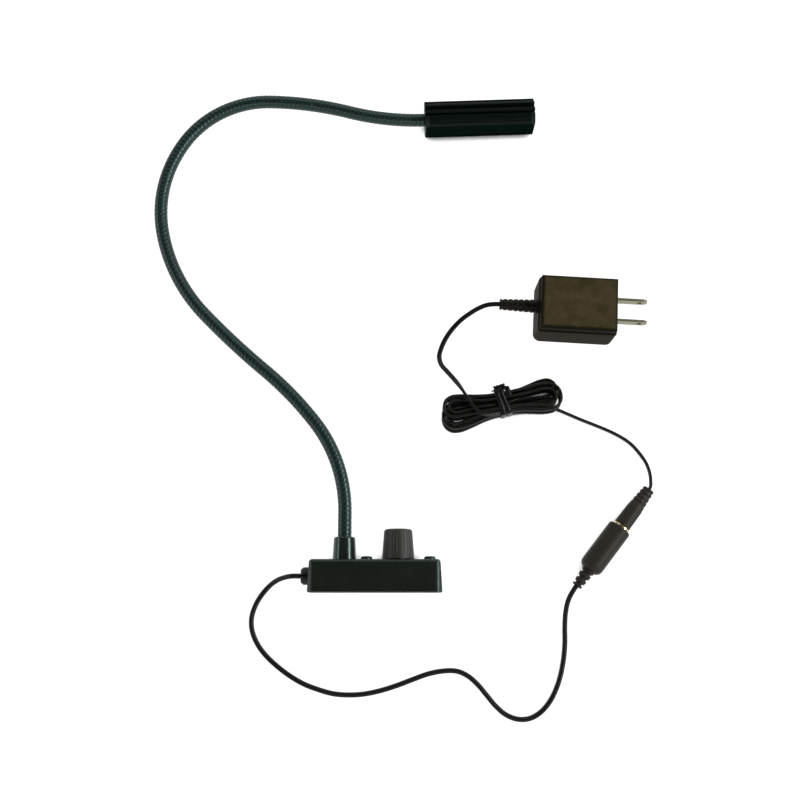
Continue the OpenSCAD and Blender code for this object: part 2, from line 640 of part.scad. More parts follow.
// cord bushing in the base's end: a split, chamfered head on a flat seat, and a tapered barrel
module cord_bushing() color("#121314") lay()
    translate([-base_len / 2, 0, bushing_z]) rotate([0, -90, 0]) difference() {
        barrel = bushing_in + base_wall;
        union() {
            turned_up([[0, -bushing_seat], [bushing_r, -bushing_seat], [bushing_r, bushing_out - 1.4],
                [bushing_r - 1, bushing_out], [0, bushing_out]]);
            translate([0, 0, -bushing_seat - barrel])
                turned_up([[0, 0], [bushing_hole_r - 0.4, 0], [bushing_hole_r, bushing_in],
                    [bushing_hole_r, barrel + eps], [0, barrel + eps]]);
        }
        translate([0, 0, -20]) cylinder(r = lead_d / 2 + cord_gap, h = 40);
        translate([-0.5, -bushing_r - 1, 0.8]) cube([1, 2 * bushing_r + 2, bushing_out]);
    }

// tapered collar that holds the neck, with a shank through the roof
module neck_collar() color("#101113") lay() translate([neck_x, 0, 0]) difference() {
    union() {
        turned_up(concat([[0, base_h], [collar_foot_r, base_h], [collar_foot_r, base_h + 0.6]],
            [for (a = [0:18:90]) [collar_top_r - collar_lip + collar_lip * cos(a),
                collar_top - collar_lip + collar_lip * sin(a)]], [[0, collar_top]]));
        translate([0, 0, roof_z - washer_t - collar_nut_t - 0.8])
            cylinder(r = shank_r, h = base_wall + washer_t + collar_nut_t + 0.8 + eps);
    }
    translate([0, 0, seat_floor]) cylinder(r = neck_d / 2 + seat_gap, h = neck_seat + 1);
    cylinder(r = bore_r, h = 60);
}
// washer and nut of the collar under the roof
module collar_nut() color("#8d8d88") lay()
    translate([neck_x, 0, roof_z - washer_t - collar_nut_t]) difference() {
        union() {
            hexagon(collar_nut_af, collar_nut_t);
            translate([0, 0, collar_nut_t]) cylinder(r = collar_nut_af / 2, h = washer_t);
        }
        translate([0, 0, -1]) cylinder(r = shank_r, h = collar_nut_t + washer_t + 2);
    }

// fixed foot of the gooseneck: plain in the collar, ribbed above, ball at its end
module gooseneck_foot() color("#15181b") ribbed_tube(
    let (seat = -neck_stub - neck_seat, top = -neck_stub + 1)
    [for (s = concat([[seat, rib_r], [top, rib_r], [top + 0.6, root_r]], ribs(top + 0.6, 0),
        ball_end(0), ball_tip(0), bore(seat, 0), [[seat, bore_r]]))
        [ahead(neck_foot, s[0]), s[1]]]);
// a gooseneck link: cup over the link below, ribs along its arc, ball at its far end
module gooseneck_link(i) color("#15181b") ribbed_tube(
    let (l = neck_arcs[i][0])
    [for (s = concat(ribs(rim_t, l), ball_end(l), ball_tip(l), bore(cup_r, l), cup(0)))
        [on_link(i, s[0]), s[1]]]);
// last link: its plain end sits in the head
module gooseneck_end() color("#15181b") ribbed_tube(
    let (i = links - 1, l = neck_arcs[i][0])
    [for (s = concat(ribs(rim_t, l - 1.6),
        [[l - 1, rib_r], [l + neck_seat, rib_r], [l + neck_seat, bore_r]],
        bore(cup_r, l + neck_seat), cup(0)))
        [on_link(i, s[0]), s[1]]]);
// the wire pair that runs up the neck from the board to the head
module neck_wire() color("#7a1d1d") {
    low = [for (s = [-36, -28, -20, -10]) ahead(neck_foot, s)];
    mid = [for (i = [0:links - 1], k = [0:4]) on_link(i, neck_arcs[i][0] * k / 5)];
    high = [for (s = [0, 9, 14]) ahead(head_at, s)];
    cord([for (p = concat(low, mid, high)) [p[0], p[1], neck_z]], wire_d / 2, wire_d / 2, 6);
}

// one fin of the heat sink, from the core out
module fin(a) rotate(a) translate([0, -fin_t / 2]) intersection() {
    square([head_r, fin_t]);
    translate([0, fin_t / 2]) circle(head_r);
}
// lower half of the head: a round hood cut flat for the lens frame
module hood_outline() intersection() {
    circle(hood_r);
    translate([-frame_seat, -head_r]) square([frame_seat + hood_r * cos(hood_from), 2 * head_r]);
}
// finned heat sink with the hood around its light channel
module heat_sink() color("#16191c") at_head() difference() {
    union() {
        along_x(cap_t, head_len - cap_t) circle(core_r);
        along_x(0, head_len) for (k = [-3:3]) difference() {
            fin(k * fin_step);
            circle(core_r - 0.4);
        }
        along_x(cap_t, head_len - cap_t) hood_outline();
    }
    along_x(-1, head_len + 1) translate([-head_r, -channel_w / 2])
        square([head_r - channel_roof, channel_w]);
    along_x(-1, neck_seat) circle(neck_d / 2 + seat_gap);
    along_x(0, 16) circle(bore_r + 0.3);
    translate([14, -channel_roof - 1, 0]) rotate([-90, 0, 0]) cylinder(r = bore_r, h = channel_roof + 1);
    for (z = [-1, 1]) along_x(-1, head_len + 1) translate([-6, z * screw_side]) circle(head_screw_r * 0.98);
    for (z = [-1, 1]) along_x(-1, head_len + 1)
        translate([hood_r * cos(128), z * hood_r * sin(128)]) circle(0.35, $fn = 16);
}
// a fin with the clearance that an end cap leaves around it
module offset_fin(a) rotate(a) translate([core_r - 0.4, -fin_t / 2 - drop_gap])
    square([head_r, fin_t + 2 * drop_gap]);
// outline shared by both end caps
module cap_outline() difference() {
    union() {
        circle(core_r - 0.4);
        hood_outline();
    }
    for (k = [-3:3]) offset_fin(k * fin_step);
}
// countersunk holes of an end cap, opening towards -x
module cap_holes() for (z = [-1, 1]) {
    along_x(-1, cap_t + 1) translate([-6, z * screw_side]) circle(head_screw_r + drop_gap);
    translate([-eps, -6, z * screw_side]) rotate([0, 90, 0])
        cylinder(r1 = 2 * head_screw_r + drop_gap, r2 = head_screw_r, h = head_screw_r + drop_gap);
}
// end cap on the neck's side
module rear_cap() color("#1a1d20") at_head() difference() {
    along_x(0, cap_t) cap_outline();
    along_x(-1, cap_t + 1) circle(neck_d / 2 + seat_gap);
    cap_holes();
}
// end cap on the far side
module front_cap() color("#1a1d20") at_head() translate([head_len, 0, 0]) mirror([1, 0, 0]) difference() {
    along_x(0, cap_t) cap_outline();
    cap_holes();
}
// flush screws of both end caps
module head_screws() color("#3a3c3f") at_head() for (m = [0, 1], z = [-1, 1])
    translate([m * head_len, -6, z * screw_side]) mirror([m, 0, 0]) rotate([0, 90, 0]) difference() {
        union() {
            cylinder(r1 = 2 * head_screw_r, r2 = head_screw_r, h = head_screw_r);
            cylinder(r = head_screw_r * 0.98, h = 8);
        }
        translate([0, 0, -eps]) cross_slot(head_screw_r);
    }
// strip board that carries the light sources
module led_board() color("#e9e9e2") at_head() along_x((head_len - led_len) / 2, (head_len + led_len) / 2)
    translate([-channel_roof - led_board_t, -channel_w / 2 + drop_gap])
        square([led_board_t, channel_w - 2 * drop_gap]);
// row of light sources
module leds() color("#e8d98a") at_head() for (i = [0:led_count - 1])
    translate([head_len / 2 + (i - (led_count - 1) / 2) * led_len / led_count - led_side / 2,
        -channel_roof - led_board_t - led_t, -led_side / 2]) cube([led_side, led_t, led_side]);
// frame that snaps under the hood and holds the lens
module lens_frame() color("#131517") at_head() difference() {
    union() {
        along_x(frame_short, head_len - frame_short) difference() {
            circle(hood_r);
            translate([-frame_seat, -head_r]) square(2 * head_r);
        }
        for (z = [-1, 1]) along_x(10, head_len - 10)
            translate([-frame_seat - eps, z * (channel_w / 2 - 0.55 - drop_gap) - 0.55]) square([1.2, 1.1]);
    }
    translate([frame_short + 5, -head_r - 1, -opening_w / 2]) cube([opening_len, frame_t + 3, opening_w]);
    translate([frame_short + 5 - frame_rim, -frame_seat - lens_t, -lens_w / 2])
        cube([opening_len + 2 * frame_rim, lens_t + 2, lens_w]);
}
// lens strip, dropped into the frame from inside
module lens() color("#9fb0b4") at_head()
    translate([frame_short + 5 - frame_rim + drop_gap, -frame_seat - lens_t, -lens_w / 2 + drop_gap])
        cube([opening_len + 2 * frame_rim - 2 * drop_gap, lens_t, lens_w - 2 * drop_gap]);

// round lead from the base to the in-line jack
module lamp_lead() color("#1a1c1d") cord(lamp_route, lead_d / 2, lead_d / 2, 8);

// ribs of a strain relief, as an outline that narrows from one end to the other
function relief_outline(from, to, root, tip, count, deep) =
    concat([[from, 0], [from, root]], [for (k = [0:count - 1])
        let (x = from + (to - from) * (k + 0.3) / count, r = root + (tip - root) * (k + 0.3) / count,
             w = (to - from) / count * 0.22)
        each [[x, r], [x + w * 0.4, r - deep], [x + w * 1.6, r - deep], [x + 2 * w, r]]], [[to, tip], [to, 0]]);

// moulded body of the in-line jack
module jack_body() color("#17191b") at_plug() difference() {
    turned(concat([[-jack_len, 0]], [for (a = [0:15:90])
        [-jack_len + 4 - 4 * cos(a), jack_d / 2 - 4 + 4 * sin(a)]],
        [[-0.6, jack_d / 2], [0, jack_d / 2 - 0.6], [0, 0]]));
    rotate([0, 90, 0]) translate([0, 0, -sleeve_len]) cylinder(r = sleeve_r, h = sleeve_len + 1);
    rotate([0, 90, 0]) translate([0, 0, -sleeve_len - 5]) cylinder(r = pin_r, h = 6);
    rotate([0, 90, 0]) translate([0, 0, -jack_len - 1]) cylinder(r = lead_d / 2 + cord_gap, h = 5);
}
// ribbed strain relief on the lamp lead
module jack_relief() color("#141617") at_plug() difference() {
    turned(relief_outline(-jack_len, jack_tail, jack_d / 2 - 3, lead_d / 2 + 1.4, 3, 1));
    rotate([0, 90, 0]) translate([0, 0, -80]) cylinder(r = lead_d / 2 + cord_gap, h = 80);
}
// metal sleeve that the plug slides into
module jack_sleeve() color("#c9b886") at_plug() rotate([0, 90, 0]) translate([0, 0, -sleeve_len])
    tube(sleeve_r, barrel_r + plug_gap, sleeve_len + sleeve_out);
// centre pin of the jack
module jack_pin() color("#c9b886") at_plug() rotate([0, 90, 0]) translate([0, 0, -sleeve_len - 5]) {
    cylinder(r = pin_r, h = sleeve_len + 3);
    translate([0, 0, sleeve_len + 3 - eps]) cylinder(r1 = pin_r, r2 = pin_r / 2, h = 0.8);
}
// barrel of the plug
module plug_barrel() color("#c3c3bd") at_plug() rotate([0, 90, 0]) translate([0, 0, -barrel_len])
    tube(barrel_r, pin_r + plug_gap, barrel_len + sleeve_out + 4);
// moulded body of the plug
module plug_body() color("#17191b") at_plug() difference() {
    from = sleeve_out + 0.2;
    to = from + plug_len;
    turned([[from, 0], [from, plug_d / 2 - 0.5], [from + 0.5, plug_d / 2], [to - 3, plug_d / 2 - 0.2],
        [to, plug_d / 2 - 0.5], [to, 0]]);
    rotate([0, 90, 0]) translate([0, 0, -1]) cylinder(r = barrel_r, h = sleeve_out + 5);
}
// ribbed strain relief on the plug
module plug_relief() color("#141617") at_plug() difference() {
    turned(relief_outline(sleeve_out + 0.2 + plug_len, plug_tail, plug_d / 2 - 0.5, twin_w / 2 + 1.9, 4, 0.4));
    rotate([0, 90, 0]) translate([0, 0, plug_tail - 8.2]) cylinder(r = twin_w / 2 + cord_gap, h = 20);
}

// flat twin lead from the plug to the hank, on its edge
module plug_lead() color("#1a1c1d") cord(concat(plug_route, hank_way_in), twin_t / 2, twin_w / 2, 8);
// the lead folded into a hank: layers wound in and out again, drawn in at the waist
module cord_hank() color("#1a1c1d") cord(hank_path, twin_t / 2, twin_w / 2, 6);
// flat twin lead from the hank to the adapter
module adapter_lead() color("#1a1c1d") cord(concat(adapter_route, hank_way_out), twin_t / 2, twin_w / 2, 8);

// tie around the hank's waist, with its twisted end
module hank_tie() color("#101112") translate([hank_at[0], hank_at[1], 0]) rotate([0, 0, hank_turn + 6]) {
    half = hank_waist + twin_t / 2 + 0.6;
    top = tie_t + 3 * hank_layer + twin_w + 0.2;
    translate([-tie_w / 2, 0, 0]) rotate([90, 0, 90]) linear_extrude(tie_w) difference() {
        translate([0, (top + tie_t) / 2]) plan(2 * (half + tie_t), top + tie_t, 2 * tie_t);
        translate([0, (top + tie_t) / 2]) plan(2 * half, top - tie_t, tie_t);
    }
    translate([0, half - 3, top + tie_t - 0.4]) rotate([0, -90, 60]) translate([0, 0, -tie_w / 2]) {
        translate([0.9, 0, 0]) cylinder(r = 0.9, h = 8);
        translate([0.9, 1.6, 0]) cylinder(r = 0.9, h = 7);
    }
}

// the adapter's outer shape, shrunk by inset
module adapter_shape(inset) translate([0, 0, inset])
    moulded(adapter_len - 2 * inset, adapter_w - 2 * inset, adapter_h - 2 * inset,
        adapter_draft, adapter_draft, adapter_corner - min(inset, 1.5), max(adapter_edge - inset, 0.4));
module slab(from, to) translate([-100, -100, from]) cube([200, 200, to - from]);
// holes through the adapter's ends for the blades and the strain relief
module adapter_holes() {
    for (y = [-1, 1]) translate([adapter_len / 2, y * blade_pitch / 2, blade_z])
        cube([12, blade_t + 0.1, blade_h + 0.1], center = true);
    translate([-adapter_len / 2 - 5, 0, blade_z]) rotate([0, 90, 0]) cylinder(r = 2.6, h = 10);
}
// lower half of the adapter
module adapter_case() color("#1d1b18") at_adapter() difference() {
    intersection() {
        adapter_shape(0);
        slab(0, seam_z - seam_gap);
    }
    adapter_shape(adapter_wall);
    adapter_holes();
}
// upper half of the adapter, with a tongue inside the lower one
module adapter_cover() color("#211e1a") at_adapter() difference() {
    union() {
        intersection() {
            moulded(adapter_len - 2 * cover_in, adapter_w - 2 * cover_in, adapter_h,
                adapter_draft, adapter_draft, adapter_corner, adapter_edge);
            slab(seam_z, adapter_h);
        }
        intersection() {
            adapter_shape(1.2);
            slab(seam_z - seam_gap, seam_z + 1);
        }
    }
    adapter_shape(adapter_wall);
    adapter_holes();
}
// flat blades with a hole near the tip
module adapter_blades() color("#b3a88c") at_adapter() for (y = [-1, 1])
    translate([0, y * blade_pitch / 2, blade_z]) difference() {
        rotate([90, 0, 0]) linear_extrude(blade_t, center = true) {
            translate([adapter_len / 2 - 7, -blade_h / 2]) square([blade_len + 5, blade_h]);
            translate([adapter_len / 2 + blade_len, 0]) polygon([[-2, -blade_h / 2], [0, 1.4 - blade_h / 2],
                [0, blade_h / 2 - 1.4], [-2, blade_h / 2]]);
        }
        translate([adapter_len / 2 + blade_len - 4.5, 5, 0]) rotate([90, 0, 0])
            cylinder(r = blade_hole_r, h = 10);
    }
// ribbed strain relief of the adapter
module adapter_relief() color("#161514") at_adapter() translate([0, 0, blade_z]) difference() {
    face = -adapter_len / 2 + adapter_draft / 2 - 0.1;
    union() {
        turned(relief_outline(face, face - relief_len, relief_root / 2, relief_tip / 2, 7, 0.4));
        rotate([0, 90, 0]) translate([0, 0, face - eps]) cylinder(r = 2.5, h = adapter_wall + 1.2);
    }
    rotate([0, 90, 0]) translate([0, 0, face - relief_len - 1]) cylinder(r = twin_w / 2 + cord_gap, h = 10);
}
// board in the adapter
module adapter_board() color("#2f5a3a") at_adapter()
    translate([-adapter_len / 2 + adapter_wall + 1.6, -adapter_w / 2 + adapter_wall + 1.6, adapter_wall])
        cube([adapter_len - 2 * adapter_wall - 9, adapter_w - 2 * adapter_wall - 3.2, board_t]);
// laminated core of the adapter's transformer: three legs between two yokes
module transformer_core() color("#55585a") at_adapter()
    translate([-core_len / 3, 0, adapter_floor]) difference() {
        translate([-core_len / 2, -core_w / 2, 0]) cube([core_len, core_w, core_h]);
        for (x = [-1, 1]) translate([x * 2 * core_leg - core_leg, -core_w, core_leg])
            cube([2 * core_leg, 2 * core_w, core_h - 2 * core_leg]);
    }
// winding around the core's middle leg
module transformer_coil() color("#8a4a22") at_adapter()
    translate([-core_len / 3, 0, adapter_floor + core_leg + drop_gap]) difference() {
        linear_extrude(coil_h) plan(6 * core_leg - 2 * drop_gap, core_w + 2 * coil_wrap, coil_wrap);
        translate([-core_leg - drop_gap, -core_w / 2 - drop_gap, -1])
            cube([2 * (core_leg + drop_gap), core_w + 2 * drop_gap, coil_h + 2]);
    }

base_housing();
base_plate();
plate_screws();
board_screws();
board_spacers();
board_nuts();
dimmer_board();
board_parts();
dimmer_pot();
pot_nut();
pot_shaft();
knob();
cord_bushing();
neck_collar();
collar_nut();
gooseneck_foot();
gooseneck_link(0);  // gooseneck_1
gooseneck_link(1);  // gooseneck_2
gooseneck_link(2);  // gooseneck_3
gooseneck_link(3);  // gooseneck_4
gooseneck_link(4);  // gooseneck_5
gooseneck_link(5);  // gooseneck_6
gooseneck_link(6);  // gooseneck_7
gooseneck_end();  // gooseneck_8
neck_wire();
heat_sink();
rear_cap();
front_cap();
head_screws();
led_board();
leds();
lens_frame();
lens();
lamp_lead();
jack_body();
jack_relief();
jack_sleeve();
jack_pin();
plug_barrel();
plug_body();
plug_relief();
plug_lead();
cord_hank();
adapter_lead();
hank_tie();
adapter_case();
adapter_cover();
adapter_blades();
adapter_relief();
adapter_board();
transformer_core();
transformer_coil();
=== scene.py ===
# Looks of a small gooseneck lamp with its supply, laid on its side on a table.
# Everything is in metres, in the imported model's own frame; sizes are written in millimetres times mm.
import math

import bpy
import numpy as np
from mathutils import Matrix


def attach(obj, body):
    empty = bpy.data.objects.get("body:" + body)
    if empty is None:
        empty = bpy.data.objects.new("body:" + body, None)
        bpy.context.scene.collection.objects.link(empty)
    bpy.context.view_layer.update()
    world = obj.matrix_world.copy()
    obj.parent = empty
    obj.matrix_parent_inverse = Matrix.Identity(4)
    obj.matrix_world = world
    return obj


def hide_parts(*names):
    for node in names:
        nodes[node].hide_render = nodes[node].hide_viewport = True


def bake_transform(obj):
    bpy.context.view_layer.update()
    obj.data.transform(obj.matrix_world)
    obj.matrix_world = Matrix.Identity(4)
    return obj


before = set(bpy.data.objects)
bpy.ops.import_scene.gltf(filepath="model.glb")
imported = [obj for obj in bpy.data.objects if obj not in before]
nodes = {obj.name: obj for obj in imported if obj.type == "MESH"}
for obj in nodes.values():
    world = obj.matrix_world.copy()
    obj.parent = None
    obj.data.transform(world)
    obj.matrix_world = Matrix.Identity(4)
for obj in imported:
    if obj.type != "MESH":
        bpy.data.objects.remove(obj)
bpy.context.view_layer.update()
mm = 0.001


# Table top and studio: a pale light table under large soft boxes, the strongest at the right.
# The camera hangs over the table, a little in front of the lamp, as in the photograph.
class Wire:
    """One socket in a material; arithmetic on it adds Math nodes, and node() adds any other node."""

    def __init__(self, tree, socket=None):
        self.tree = tree
        self.socket = socket

    def node(self, kind, settings, inputs, output=0):
        made = self.tree.nodes.new("ShaderNode" + kind)
        for name, value in settings.items():
            setattr(made, name, value)
        for name, value in inputs.items():
            if isinstance(value, Wire):
                self.tree.links.new(value.socket, made.inputs[name])
            else:
                made.inputs[name].default_value = value
        return Wire(self.tree, made.outputs[output])

    def maths(self, operation, first, second):
        return self.node("Math", {"operation": operation}, {0: first, 1: second})

    def __add__(self, other):
        return self.maths("ADD", self, other)

    def __radd__(self, other):
        return self.maths("ADD", other, self)

    def __sub__(self, other):
        return self.maths("SUBTRACT", self, other)

    def __rsub__(self, other):
        return self.maths("SUBTRACT", other, self)

    def __mul__(self, other):
        return self.maths("MULTIPLY", self, other)

    def __rmul__(self, other):
        return self.maths("MULTIPLY", other, self)

    def __pow__(self, other):
        return self.maths("POWER", self, other)

    def clip(self):
        return self.node("Clamp", {}, {"Value": self})

    def tint(self, dark, light):
        """A colour between two, by this value."""
        return self.node("Mix", {"data_type": "RGBA"}, {0: self, 6: (*dark, 1), 7: (*light, 1)}, 2)


class Finish:
    """A new material: its places on the object, its noises, and its shader."""

    def __init__(self, name):
        self.material = bpy.data.materials.new(name)
        self.material.use_nodes = True
        self.tree = self.material.node_tree
        self.shader = self.tree.nodes["Principled BSDF"]
        self.wire = Wire(self.tree)
        self.place = self.wire.node("TexCoord", {}, {}, "Object")

    def noise(self, size, detail=2.0, rough=0.5, stretch=None):
        """Cloudy grey spots of about this size, drawn out where an axis is stretched."""
        where = self.place
        if stretch:
            where = self.wire.node("Mapping", {}, {"Vector": where, "Scale": stretch})
        settings = {"Vector": where, "Scale": 1 / size, "Detail": detail, "Roughness": rough}
        return self.wire.node("TexNoise", {}, settings)

    def shade(self, **values):
        """Sets the shader's sockets: numbers and colours directly, changing values as links."""
        for name, value in values.items():
            socket = self.shader.inputs[name.replace("_", " ")]
            if isinstance(value, Wire):
                self.tree.links.new(value.socket, socket)
            else:
                socket.default_value = (*value, 1) if isinstance(value, tuple) else value
        return self.material


table_size, table_gap = 6.0, 0.05 * mm
shade_reach, shade_from, shade_step = 9 * mm, 0.35, 12
bpy.ops.mesh.primitive_grid_add(x_subdivisions=8, y_subdivisions=8, size=table_size)
table = bpy.context.object
table.name = "table"
table.location = (0, 0, -table_gap)
pale = Finish("pale_table")
# Painted shadow: the table's glow fades out in slits and tight corners, where the things on it hem it in.
open_above = pale.wire.node("AmbientOcclusion", {"samples": 8}, {"Distance": shade_reach}, "AO")
glow_with_painted_shadow = ((open_above - shade_from) * shade_step).clip()
table.data.materials.append(pale.shade(
    Base_Color=pale.noise(30 * mm, 3.0).tint((0.16, 0.16, 0.16), (0.18, 0.18, 0.18)),
    Roughness=0.85, Specular_IOR_Level=0.1, Emission_Strength=0.97,
    Emission_Color=glow_with_painted_shadow.tint((0.03, 0.03, 0.03), (1.0, 1.0, 1.0))))

dome_top, dome_rim = 0.08, 0.5
world = bpy.data.worlds.new("studio")
bpy.context.scene.world = world
world.use_nodes = True
sky = Wire(world.node_tree)
overhead = sky.node("SeparateXYZ", {}, {0: sky.node("TexCoord", {}, {}, "Generated")}, "Z").clip()
dome = dome_top + (1 - overhead) ** 2 * dome_rim
world.node_tree.links.new(dome.socket, world.node_tree.nodes["Background"].inputs["Strength"])
world.node_tree.nodes["Background"].inputs["Color"].default_value = (1, 1, 1, 1)
bpy.context.scene.view_settings.view_transform = "Standard"
bpy.context.scene.view_settings.look = "None"
bpy.context.scene.view_settings.gamma = 0.85

middle = np.array((14.0, 103.4, 0.0)) * mm


def soft_box(name, azimuth, elevation, distance, wide, high, power):
    """A soft box that faces the middle of the table."""
    lamp = bpy.data.lights.new(name, "AREA")
    lamp.shape, lamp.size, lamp.size_y, lamp.energy = "RECTANGLE", wide, high, power
    holder = bpy.data.objects.new(name, lamp)
    bpy.context.collection.objects.link(holder)
    a, e = math.radians(azimuth), math.radians(elevation)
    holder.location = middle + distance * np.array(
        (math.cos(e) * math.cos(a), math.cos(e) * math.sin(a), math.sin(e)))
    holder.rotation_euler = (math.pi / 2 - e, 0, a + math.pi / 2)


soft_box("right_box", 0, 37, 1.3, 1.5, 0.3, 16)
soft_box("left_box", 180, 24, 1.4, 1.5, 0.25, 5)
soft_box("back_box", 90, 36, 1.4, 1.4, 0.7, 5.5)
soft_box("front_box", 270, 36, 1.4, 1.4, 0.7, 6)

camera_reach, camera_tilt = 610 * mm, math.radians(12)
sensor, focal_pixels, frame_pixels = 36.0, 1029, 800
eye = bpy.data.objects.new("camera", bpy.data.cameras.new("camera"))
bpy.context.collection.objects.link(eye)
eye.data.sensor_width, eye.data.lens = sensor, sensor * focal_pixels / frame_pixels
eye.location = middle + camera_reach * np.array((0, -math.sin(camera_tilt), math.cos(camera_tilt)))
eye.rotation_euler = (camera_tilt, 0, 0)
bpy.context.scene.camera = eye


# Base housing: one black moulding, open below, with a fine spark-eroded grain all over.
# Its edges have been handled, so they are a little smoother and paler than the faces.
base_len = 75 * mm


def worn_edge(finish, radius):
    """The normal rounded over sharp edges, and how near an edge a spot is."""
    round_normal = finish.wire.node("Bevel", {"samples": 6}, {"Radius": radius})
    true_normal = finish.wire.node("NewGeometry", {}, {}, "Normal")
    along = finish.wire.node(
        "VectorMath", {"operation": "DOT_PRODUCT"}, {0: round_normal, 1: true_normal}, "Value")
    return round_normal, ((1 - along) * 5).clip()


def moulding(name, dark, light, rough, grain=0.35 * mm, depth=0.03 * mm, edge=0.3 * mm, shine=0.4,
             sheen=(1.0, 1.0, 1.0), sides=1.0):
    """Moulded plastic: grained faces, cloudy colour, paler and smoother edges, and painted shade on its sides
    if asked.
    """
    cloud_size, dust_size, dust_from, turned_edge = 9 * mm, 0.9 * mm, 0.62, 1.8 * mm
    finish = Finish(name)
    normal, near_edge = worn_edge(finish, edge)
    cloud = finish.noise(cloud_size, 4.0, 0.6)
    speck = finish.noise(grain, 2.0)
    dust = ((finish.noise(dust_size, 3.0, 0.7) - dust_from) * 6).clip()
    mix = (cloud * 0.5 + speck * 0.25 + near_edge * 0.5 + dust * 0.25).clip()
    # Painted shade: faces that don't face up keep only the share 'sides' of their colour.
    if sides < 1:
        rounded = finish.wire.node("Bevel", {"samples": 6}, {"Radius": turned_edge})
        facing_up_for_painted_shade = finish.wire.node("SeparateXYZ", {}, {0: rounded}, "Z").clip()
        mix = mix * (facing_up_for_painted_shade ** 6 * (1 - sides) + sides)
    bump = finish.wire.node("Bump", {}, {
        "Strength": 0.6, "Distance": depth, "Height": speck + cloud * 0.3, "Normal": normal})
    return finish.shade(
        Base_Color=mix.tint(dark, light), Normal=bump, Specular_IOR_Level=shine, Specular_Tint=sheen,
        Roughness=(rough + (cloud - 0.5) * 0.14 + speck * 0.06 - near_edge * 0.12).clip())


def dress(material, *names):
    """Gives CAD nodes this finish."""
    for name in names:
        nodes[name].data.materials.clear()
        nodes[name].data.materials.append(material)
        nodes[name].data.polygons.foreach_set("material_index", [0] * len(nodes[name].data.polygons))


cool = (0.78, 1.0, 0.94)
dress(moulding("housing_black", (0.0062, 0.0075, 0.0054), (0.016, 0.0190, 0.0152), 0.34,
               shine=0.65, sheen=cool), "base_housing")


# Inside the base: circuit board, its small parts and the plated hardware that holds them.
# None of it shows from outside, but each piece has its own finish.
def plain_metal(name, dark, light, rough):
    """Plated or turned metal: fine scratches, a little tarnish and paler edges."""
    scratch_size, scratch_depth, tarnish_size, edge = 0.25 * mm, 0.01 * mm, 3 * mm, 0.12 * mm
    finish = Finish(name)
    scratch = finish.noise(scratch_size, 3.0, 0.6)
    tarnish = finish.noise(tarnish_size, 4.0, 0.6)
    normal, near_edge = worn_edge(finish, edge)
    bump = finish.wire.node("Bump", {}, {
        "Strength": 0.4, "Distance": scratch_depth, "Height": scratch, "Normal": normal})
    return finish.shade(
        Base_Color=(tarnish * 0.7 + scratch * 0.3 + near_edge * 0.2).clip().tint(dark, light), Normal=bump,
        Metallic=1.0, Roughness=(rough + (tarnish - 0.5) * 0.16 + scratch * 0.08).clip())


zinc = plain_metal("zinc_plate", (0.36, 0.36, 0.34), (0.58, 0.58, 0.55), 0.34)
dress(zinc, "board_spacers", "board_nuts", "pot_nut", "collar_nut")
dress(plain_metal("pressed_can", (0.32, 0.33, 0.34), (0.50, 0.51, 0.52), 0.40), "dimmer_pot")
dress(plain_metal("turned_shaft", (0.42, 0.42, 0.40), (0.62, 0.62, 0.60), 0.28), "pot_shaft")
dress(moulding("board_green", (0.015, 0.06, 0.025), (0.03, 0.11, 0.05), 0.45),
      "dimmer_board", "adapter_board")
dress(moulding("chip_black", (0.012, 0.012, 0.013), (0.03, 0.03, 0.03), 0.5), "board_parts")
dress(moulding("plate_black", (0.010, 0.011, 0.012), (0.022, 0.023, 0.024), 0.5), "base_plate")
dress(plain_metal("black_oxide", (0.030, 0.043, 0.040), (0.075, 0.100, 0.094), 0.32),
      "plate_screws", "board_screws", "head_screws")


# Knob, collar and bushing: black mouldings on top of the base and in its end.
# The knob is satin, the collar glossy from its polished mould, the bushing plain nylon.
dress(moulding("knob_black", (0.021, 0.0222, 0.0198), (0.055, 0.0580, 0.0520), 0.46,
               edge=0.25 * mm, shine=0.5), "knob")
dress(moulding("collar_black", (0.010, 0.0145, 0.0128), (0.0225, 0.030, 0.0268), 0.19,
               depth=0.008 * mm, shine=0.8, sheen=cool), "neck_collar")
dress(moulding("bushing_black", (0.009, 0.009, 0.008), (0.022, 0.021, 0.019), 0.45), "cord_bushing")


# Gooseneck: steel hose wound from strip, coated satin black, that stays where it is bent.
# Its ribs run round it as one screw thread. Each length runs across one hinge of the model.
neck_d, rib_depth, rib_pitch, rib_flatness = 7.8 * mm, 0.26 * mm, 2.7 * mm, 0.2
neck_foot = np.array((-0.231 * base_len, 35.8 * mm))
neck_stub, neck_seat, neck_height = 14 * mm, 8 * mm, 11 * mm
neck_lay = ((56, 38), (43, 12), (50, -6), (61, -33), (60, -45), (60, -57), (50, -14), (47, 17))
neck_joints = np.cumsum([0] + [length for length, turn in neck_lay]) * mm
rib_sides, rib_steps = 32, 10


def neck_at(s):
    """The neck's middle at a length along it from the first hinge: place and heading."""
    x, y, heading = *neck_foot, math.pi / 2
    left = s
    for length, turn in neck_lay:
        run = min(left, length * mm) if left > 0 else left
        turned = math.radians(turn) * max(run, 0) / (length * mm)
        if run < 0 or turned == 0:
            return np.array((x + run * math.cos(heading), y + run * math.sin(heading))), heading
        radius = length * mm / math.radians(turn)
        x += radius * (math.sin(heading + turned) - math.sin(heading))
        y -= radius * (math.cos(heading + turned) - math.cos(heading))
        heading += turned
        left -= run
        if left <= 0:
            return np.array((x, y)), heading
    return np.array((x + left * math.cos(heading), y + left * math.sin(heading))), heading


def new_mesh(name, points, faces):
    """A smooth mesh piece from its corners and faces."""
    mesh = bpy.data.meshes.new(name)
    mesh.from_pydata([tuple(p) for p in points], [], [tuple(f) for f in faces])
    mesh.validate()
    mesh.polygons.foreach_set("use_smooth", [True] * len(mesh.polygons))
    piece = bpy.data.objects.new(name, mesh)
    bpy.context.collection.objects.link(piece)
    return piece


